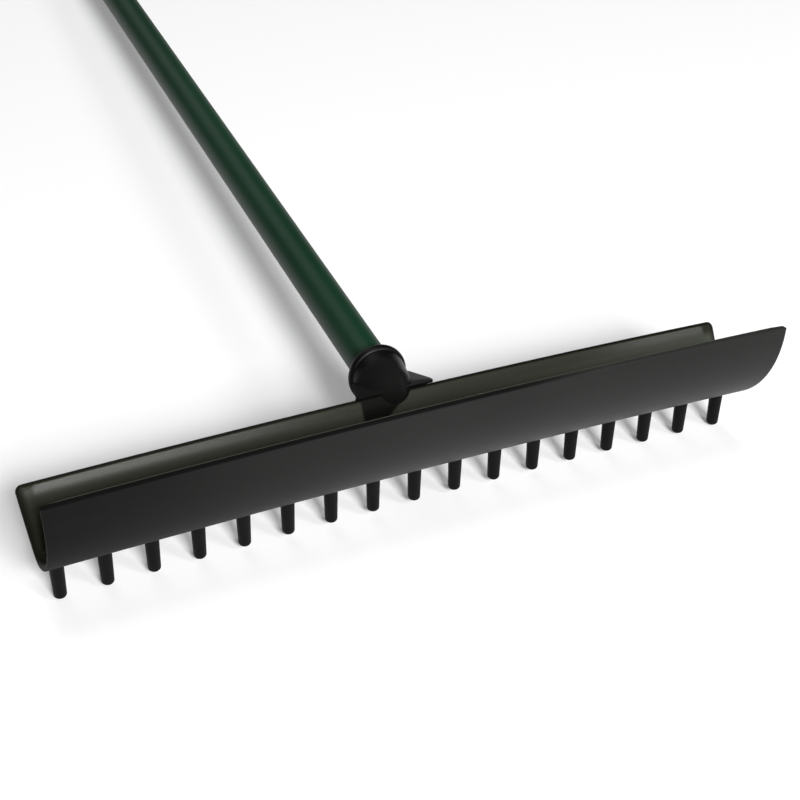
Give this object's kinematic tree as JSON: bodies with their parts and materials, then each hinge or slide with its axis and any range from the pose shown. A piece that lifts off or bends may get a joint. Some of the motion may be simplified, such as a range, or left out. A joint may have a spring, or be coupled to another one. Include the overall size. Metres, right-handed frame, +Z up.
{
  "type": "bunker rake",
  "caption": "Long-handled rake: a curved trough-shaped head with a row of round peg teeth below it and a socket on its back wall for a straight tube handle.",
  "frame": {"origin": "on the ground below the middle of the whole rake, which stands on its end teeth and the far end of its handle", "axes": "+X along the head, +Y from the head along the handle, +Z up"},
  "size_m": [0.506, 1.5926, 0.1148],
  "materials": {
    "trough_grey": "satin charcoal moulded plastic, with a faint grain",
    "tooth_black": "satin black moulded plastic",
    "socket_black": "satin black moulded plastic",
    "handle_green": "smooth deep green paint with a soft sheen",
    "cap_black": "matte black moulded plastic",
    "screw_steel": "plain zinc plated steel"
  },
  "bodies": {
    "root": {"trough": "trough_grey", "tooth_01": "tooth_black", "tooth_02": "tooth_black", "tooth_03": "tooth_black", "tooth_04": "tooth_black", "tooth_05": "tooth_black", "tooth_06": "tooth_black", "tooth_07": "tooth_black", "tooth_08": "tooth_black", "tooth_09": "tooth_black", "tooth_10": "tooth_black", "tooth_11": "tooth_black", "tooth_12": "tooth_black", "tooth_13": "tooth_black", "tooth_14": "tooth_black", "tooth_15": "tooth_black", "tooth_16": "tooth_black", "tooth_17": "tooth_black", "socket": "socket_black", "socket_screw_left": "screw_steel", "socket_screw_right": "screw_steel", "handle_tube": "handle_green", "handle_screw": "screw_steel", "handle_end_cap": "cap_black"}
  },
  "joints": []
}
